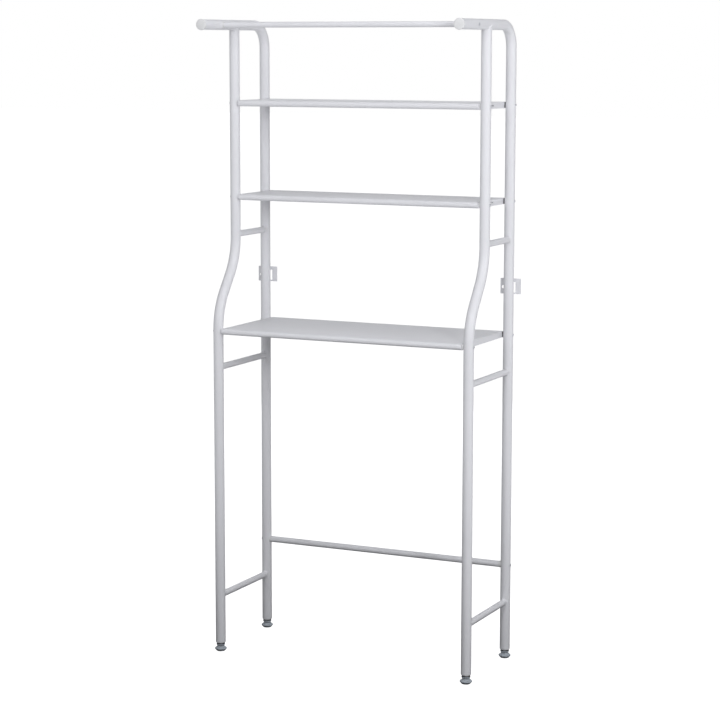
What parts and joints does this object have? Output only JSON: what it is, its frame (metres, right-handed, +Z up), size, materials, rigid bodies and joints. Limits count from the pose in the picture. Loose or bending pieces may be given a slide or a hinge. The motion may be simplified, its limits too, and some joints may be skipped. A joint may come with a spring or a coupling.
{
  "type": "over the toilet storage rack",
  "caption": "Tall white steel tube rack that stands over a toilet, with folded sheet shelves, a towel bar between forward top rails, wall brackets and levelling feet.",
  "frame": {"origin": "on the floor, at the middle of the rack's width and depth", "axes": "+Z up, +Y towards the wall behind the rack, -Y towards its front, +X to the right as seen from the front"},
  "size_m": [0.734, 0.3474, 1.6],
  "materials": {
    "white_powder_coat": "smooth satin powder coat",
    "light_grey_plastic": "moulded, satin",
    "black_plastic": "moulded, matt",
    "black_rubber": "matt",
    "foot_plastic": "moulded, matt",
    "zinc_steel": "zinc plated"
  },
  "bodies": {
    "rack": {"left_upper_rear_tube": "white_powder_coat", "right_upper_rear_tube": "white_powder_coat", "left_upper_front_tube": "white_powder_coat", "right_upper_front_tube": "white_powder_coat", "left_lower_rear_tube": "white_powder_coat", "right_lower_rear_tube": "white_powder_coat", "left_lower_front_tube": "white_powder_coat", "right_lower_front_tube": "white_powder_coat", "left_tube_joints": "zinc_steel", "right_tube_joints": "zinc_steel", "left_upper_rung": "white_powder_coat", "right_upper_rung": "white_powder_coat", "left_middle_rung": "white_powder_coat", "right_middle_rung": "white_powder_coat", "left_bottom_rung": "white_powder_coat", "right_bottom_rung": "white_powder_coat", "left_rail_cap": "light_grey_plastic", "right_rail_cap": "light_grey_plastic", "left_wall_bracket": "white_powder_coat", "right_wall_bracket": "white_powder_coat", "top_bar": "white_powder_coat", "top_bar_plugs": "light_grey_plastic", "top_bar_screws": "zinc_steel", "back_bar": "white_powder_coat", "back_bar_plugs": "light_grey_plastic", "back_bar_screws": "zinc_steel", "top_shelf": "white_powder_coat", "top_shelf_screws": "zinc_steel", "top_shelf_nuts": "zinc_steel", "middle_shelf": "white_powder_coat", "middle_shelf_screws": "zinc_steel", "middle_shelf_nuts": "zinc_steel", "bottom_shelf": "white_powder_coat", "bottom_shelf_screws": "zinc_steel", "bottom_shelf_nuts": "zinc_steel", "front_shelf_spacers": "light_grey_plastic", "rear_shelf_spacers": "black_plastic", "front_left_insert": "light_grey_plastic", "front_right_insert": "light_grey_plastic", "rear_left_insert": "light_grey_plastic", "rear_right_insert": "light_grey_plastic", "front_left_washer": "black_rubber", "front_right_washer": "black_rubber", "rear_left_washer": "black_rubber", "rear_right_washer": "black_rubber", "front_left_lock_ring": "foot_plastic", "front_right_lock_ring": "foot_plastic", "rear_left_lock_ring": "foot_plastic", "rear_right_lock_ring": "foot_plastic"},
    "front_left_foot": {"front_left_pad": "foot_plastic"},
    "front_left_screw": {"front_left_stem": "zinc_steel"},
    "front_right_foot": {"front_right_pad": "foot_plastic"},
    "front_right_screw": {"front_right_stem": "zinc_steel"},
    "rear_left_foot": {"rear_left_pad": "foot_plastic"},
    "rear_left_screw": {"rear_left_stem": "zinc_steel"},
    "rear_right_foot": {"rear_right_pad": "foot_plastic"},
    "rear_right_screw": {"rear_right_stem": "zinc_steel"}
  },
  "joints": [
    {"name": "front_left_foot_slide", "type": "slide", "parent": "rack", "child": "front_left_foot", "axis": [0, 0, 1], "range_m": [-0.01, 0]},
    {"name": "front_left_screw_turn", "type": "hinge", "parent": "front_left_foot", "child": "front_left_screw", "pos_m": [-0.34, -0.096, 0.0145], "axis": [0, 0, 1], "range_deg": [-2890, 0]},
    {"name": "front_right_foot_slide", "type": "slide", "parent": "rack", "child": "front_right_foot", "axis": [0, 0, 1], "range_m": [-0.01, 0]},
    {"name": "front_right_screw_turn", "type": "hinge", "parent": "front_right_foot", "child": "front_right_screw", "pos_m": [0.34, -0.096, 0.0145], "axis": [0, 0, 1], "range_deg": [-2890, 0]},
    {"name": "rear_left_foot_slide", "type": "slide", "parent": "rack", "child": "rear_left_foot", "axis": [0, 0, 1], "range_m": [-0.01, 0]},
    {"name": "rear_left_screw_turn", "type": "hinge", "parent": "rear_left_foot", "child": "rear_left_screw", "pos_m": [-0.34, 0.159, 0.0145], "axis": [0, 0, 1], "range_deg": [-2890, 0]},
    {"name": "rear_right_foot_slide", "type": "slide", "parent": "rack", "child": "rear_right_foot", "axis": [0, 0, 1], "range_m": [-0.01, 0]},
    {"name": "rear_right_screw_turn", "type": "hinge", "parent": "rear_right_foot", "child": "rear_right_screw", "pos_m": [0.34, 0.159, 0.0145], "axis": [0, 0, 1], "range_deg": [-2890, 0]}
  ],
  "couplings": [
    {"joint": "front_left_screw_turn", "follows": "front_left_foot_slide", "rad_per_m": 5026.5},
    {"joint": "front_right_screw_turn", "follows": "front_right_foot_slide", "rad_per_m": 5026.5},
    {"joint": "rear_left_screw_turn", "follows": "rear_left_foot_slide", "rad_per_m": 5026.5},
    {"joint": "rear_right_screw_turn", "follows": "rear_right_foot_slide", "rad_per_m": 5026.5}
  ]
}
